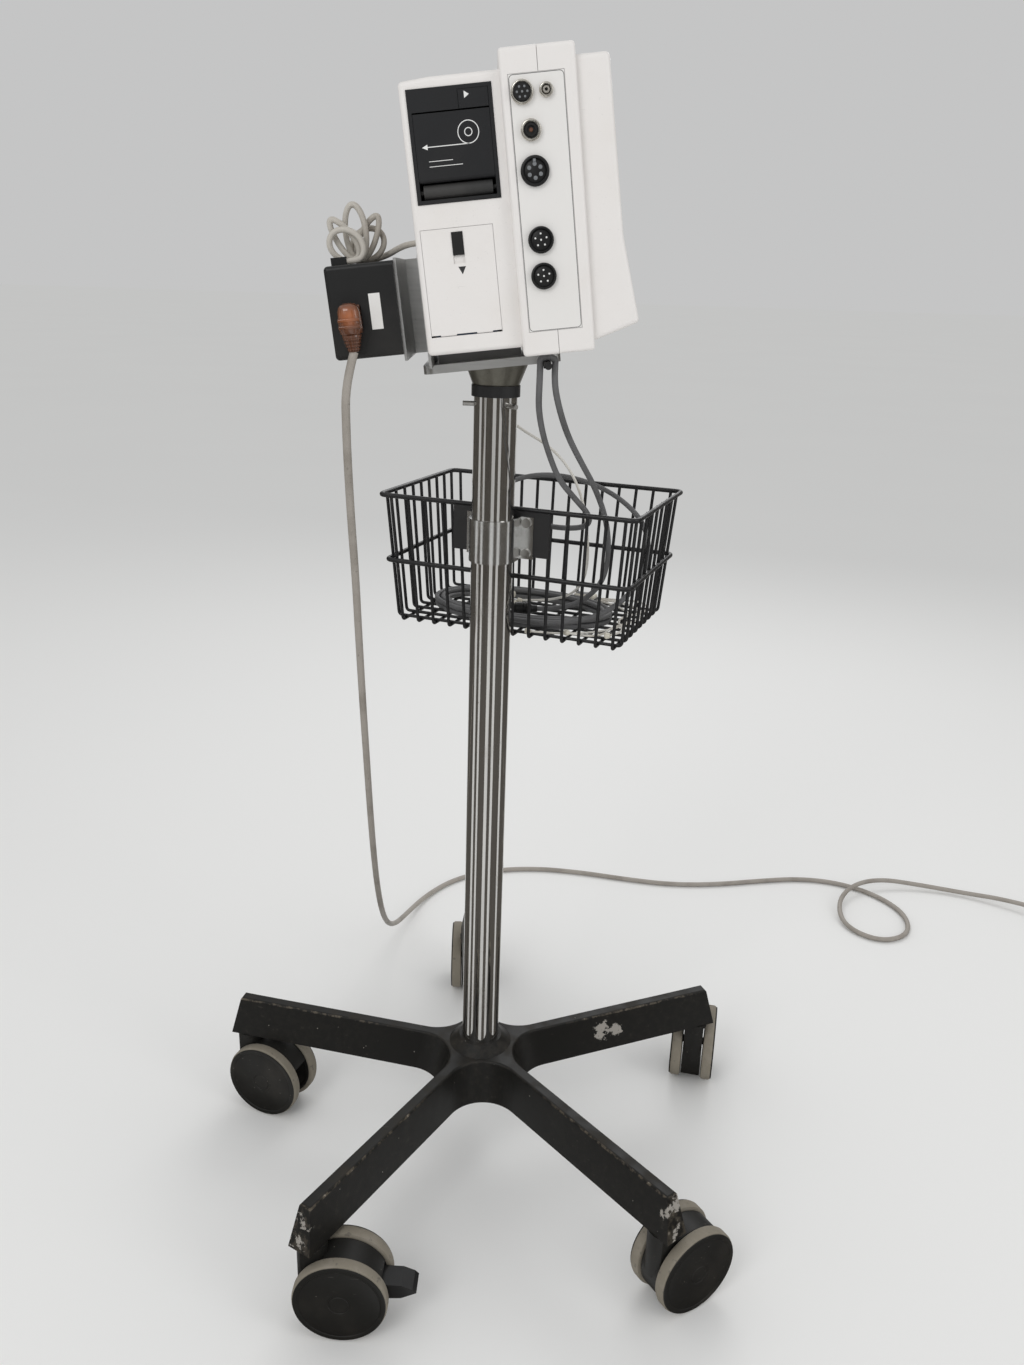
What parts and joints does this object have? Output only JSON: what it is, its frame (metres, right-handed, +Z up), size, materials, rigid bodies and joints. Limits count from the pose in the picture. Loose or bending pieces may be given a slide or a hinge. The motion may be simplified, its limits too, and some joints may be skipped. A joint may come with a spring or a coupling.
{
  "type": "patient monitor on a roll stand",
  "caption": "Portable vital-signs monitor with recorder and sockets on a tilted plate, on a chrome pole with wire basket, cables and a five-leg caster base.",
  "frame": {"origin": "point on the floor under the pole's axis", "axes": "+Z up along the pole, +X towards the monitor's display side, -Y towards the side with the recorder and the sockets"},
  "size_m": [1.4052, 1.0001, 1.2286],
  "materials": {
    "cast_black": "satin black paint, chipped at the edges",
    "chrome": "polished chrome",
    "black_wire": "black vinyl-dipped wire",
    "steel": "plain steel",
    "black_steel": "black paint",
    "olive_cast": "grey-olive cast metal",
    "aluminium": "satin aluminium",
    "case_white": "fine-textured warm white moulding",
    "charcoal": "textured charcoal moulding",
    "caster_black": "black nylon",
    "wheel": "taupe tread on black disc",
    "screen": "dark glass",
    "inner_parts": "boards and cells",
    "roller_rubber": "roller rubber",
    "paper": "chart paper",
    "amber": "clear amber moulding",
    "mains_grey": "taupe cord",
    "beige_cord": "beige cord",
    "dark_cable": "dark grey cable",
    "white_cable": "white cable"
  },
  "bodies": {
    "stand": {"basket_plate": "black_steel", "battery_pack": "inner_parts", "cable_coil": "dark_cable", "cable_ends": "white_cable", "cable_peg": "steel", "caster_stems": "steel", "connector_panel": "case_white", "dc_hank": "beige_cord", "dc_lead": "beige_cord", "display_window": "screen", "finger_sensor": "white_cable", "front_case": "case_white", "lcd_module": "inner_parts", "lead_wires": "white_cable", "main_board": "inner_parts", "mains_connector": "amber", "mains_cord": "mains_grey", "mains_plug": "mains_grey", "metal_sockets": "steel", "mount_plate": "aluminium", "mount_rail": "black_steel", "patient_cable": "dark_cable", "pin_sockets": "charcoal", "pole": "chrome", "pole_clamp": "chrome", "pole_collar": "black_steel", "psu_bracket": "aluminium", "psu_case": "charcoal", "rear_case": "case_white", "recorder_frame": "charcoal", "sensor_cable": "white_cable", "stand_screws": "steel", "star_base": "cast_black", "tilt_head": "olive_cast", "wire_basket": "black_wire"},
    "recorder_door": {"recorder_door": "charcoal"},
    "recorder_button": {"recorder_button": "charcoal"},
    "platen_roller": {"platen_roller": "roller_rubber"},
    "paper_roll": {"paper_roll": "paper"},
    "battery_door": {"battery_door": "case_white"},
    "battery_latch": {"battery_latch": "charcoal"},
    "select_knob": {"select_knob": "charcoal"},
    "menu_key": {"menu_key": "charcoal"},
    "power_key": {"power_key": "charcoal"},
    "caster_back": {"hood_back": "caster_black"},
    "wheel_back_outer": {"wheel_back_outer": "wheel"},
    "wheel_back_inner": {"wheel_back_inner": "wheel"},
    "caster_left": {"hood_left": "caster_black"},
    "wheel_left_outer": {"wheel_left_outer": "wheel"},
    "wheel_left_inner": {"wheel_left_inner": "wheel"},
    "caster_front_left": {"hood_front_left": "caster_black"},
    "wheel_front_left_outer": {"wheel_front_left_outer": "wheel"},
    "wheel_front_left_inner": {"wheel_front_left_inner": "wheel"},
    "brake_pedal": {"brake_pedal": "caster_black"},
    "caster_front_right": {"hood_front_right": "caster_black"},
    "wheel_front_right_outer": {"wheel_front_right_outer": "wheel"},
    "wheel_front_right_inner": {"wheel_front_right_inner": "wheel"},
    "caster_right": {"hood_right": "caster_black"},
    "wheel_right_outer": {"wheel_right_outer": "wheel"},
    "wheel_right_inner": {"wheel_right_inner": "wheel"}
  },
  "joints": [
    {"name": "recorder_door_hinge", "type": "hinge", "parent": "stand", "child": "recorder_door", "pos_m": [-0.01903, -0.128, 1.12782], "axis": [0.9923, 0, 0.1236], "range_deg": [0, 90]},
    {"name": "recorder_button_press", "type": "slide", "parent": "stand", "child": "recorder_button", "axis": [0, 1, 0], "range_m": [0, 0.0025], "stiffness_N_per_m": 500},
    {"name": "platen_roller_turn", "type": "hinge", "parent": "stand", "child": "platen_roller", "pos_m": [-0.0178, -0.1245, 1.1179], "axis": [0.9923, 0, 0.1236], "continuous": true},
    {"name": "paper_roll_turn", "type": "hinge", "parent": "stand", "child": "paper_roll", "pos_m": [-0.022, -0.098, 1.15163], "axis": [0.9923, 0, 0.1236], "continuous": true},
    {"name": "battery_door_hinge", "type": "hinge", "parent": "stand", "child": "battery_door", "pos_m": [-0.00353, -0.1287, 1.00338], "axis": [0.9923, 0, 0.1236], "range_deg": [0, 90]},
    {"name": "battery_latch_slide", "type": "slide", "parent": "battery_door", "child": "battery_latch", "axis": [0.1236, 0, -0.9923], "range_m": [0, 0.006]},
    {"name": "select_knob_turn", "type": "hinge", "parent": "stand", "child": "select_knob", "pos_m": [0.11553, 0.07, 1.04905], "axis": [0.9671, 0, 0.2544], "continuous": true},
    {"name": "menu_key_press", "type": "slide", "parent": "stand", "child": "menu_key", "axis": [-0.9671, 0, -0.2544], "range_m": [0, 0.0015], "stiffness_N_per_m": 600},
    {"name": "power_key_press", "type": "slide", "parent": "stand", "child": "power_key", "axis": [-0.9671, 0, -0.2544], "range_m": [0, 0.0015], "stiffness_N_per_m": 600},
    {"name": "caster_back_swivel", "type": "hinge", "parent": "stand", "child": "caster_back", "pos_m": [-0.01802, 0.31248, 0.08], "axis": [0, 0, 1], "continuous": true},
    {"name": "wheel_back_outer_roll", "type": "hinge", "parent": "caster_back", "child": "wheel_back_outer", "pos_m": [-0.01802, 0.34448, 0.05], "axis": [-1, 0, 0], "continuous": true},
    {"name": "wheel_back_inner_roll", "type": "hinge", "parent": "caster_back", "child": "wheel_back_inner", "pos_m": [-0.01802, 0.34448, 0.05], "axis": [-1, 0, 0], "continuous": true},
    {"name": "caster_left_swivel", "type": "hinge", "parent": "stand", "child": "caster_left", "pos_m": [-0.30275, 0.07943, 0.08], "axis": [0, 0, 1], "continuous": true},
    {"name": "wheel_left_outer_roll", "type": "hinge", "parent": "caster_left", "child": "wheel_left_outer", "pos_m": [-0.27317, 0.06723, 0.05], "axis": [0.3811, 0.9245, 0], "continuous": true},
    {"name": "wheel_left_inner_roll", "type": "hinge", "parent": "caster_left", "child": "wheel_left_inner", "pos_m": [-0.27317, 0.06723, 0.05], "axis": [0.3811, 0.9245, 0], "continuous": true},
    {"name": "caster_front_left_swivel", "type": "hinge", "parent": "stand", "child": "caster_front_left", "pos_m": [-0.16909, -0.26339, 0.08], "axis": [0, 0, 1], "continuous": true},
    {"name": "wheel_front_left_outer_roll", "type": "hinge", "parent": "caster_front_left", "child": "wheel_front_left_outer", "pos_m": [-0.13714, -0.26507, 0.05], "axis": [0.0523, 0.9986, 0], "continuous": true},
    {"name": "wheel_front_left_inner_roll", "type": "hinge", "parent": "caster_front_left", "child": "wheel_front_left_inner", "pos_m": [-0.13714, -0.26507, 0.05], "axis": [0.0523, 0.9986, 0], "continuous": true},
    {"name": "brake_pedal_press", "type": "hinge", "parent": "caster_front_left", "child": "brake_pedal", "pos_m": [-0.13714, -0.26507, 0.05], "axis": [0.0523, 0.9986, 0], "range_deg": [0, 18]},
    {"name": "caster_front_right_swivel", "type": "hinge", "parent": "stand", "child": "caster_front_right", "pos_m": [0.19825, -0.24221, 0.08], "axis": [0, 0, 1], "continuous": true},
    {"name": "wheel_front_right_outer_roll", "type": "hinge", "parent": "caster_front_right", "child": "wheel_front_right_outer", "pos_m": [0.2255, -0.22544, 0.05], "axis": [-0.524, 0.8517, 0], "continuous": true},
    {"name": "wheel_front_right_inner_roll", "type": "hinge", "parent": "caster_front_right", "child": "wheel_front_right_inner", "pos_m": [0.2255, -0.22544, 0.05], "axis": [-0.524, 0.8517, 0], "continuous": true},
    {"name": "caster_right_swivel", "type": "hinge", "parent": "stand", "child": "caster_right", "pos_m": [0.29162, 0.1137, 0.08], "axis": [0, 0, 1], "continuous": true},
    {"name": "wheel_right_outer_roll", "type": "hinge", "parent": "caster_right", "child": "wheel_right_outer", "pos_m": [0.29882, 0.14488, 0.05], "axis": [-0.9744, 0.225, 0], "continuous": true},
    {"name": "wheel_right_inner_roll", "type": "hinge", "parent": "caster_right", "child": "wheel_right_inner", "pos_m": [0.29882, 0.14488, 0.05], "axis": [-0.9744, 0.225, 0], "continuous": true}
  ]
}
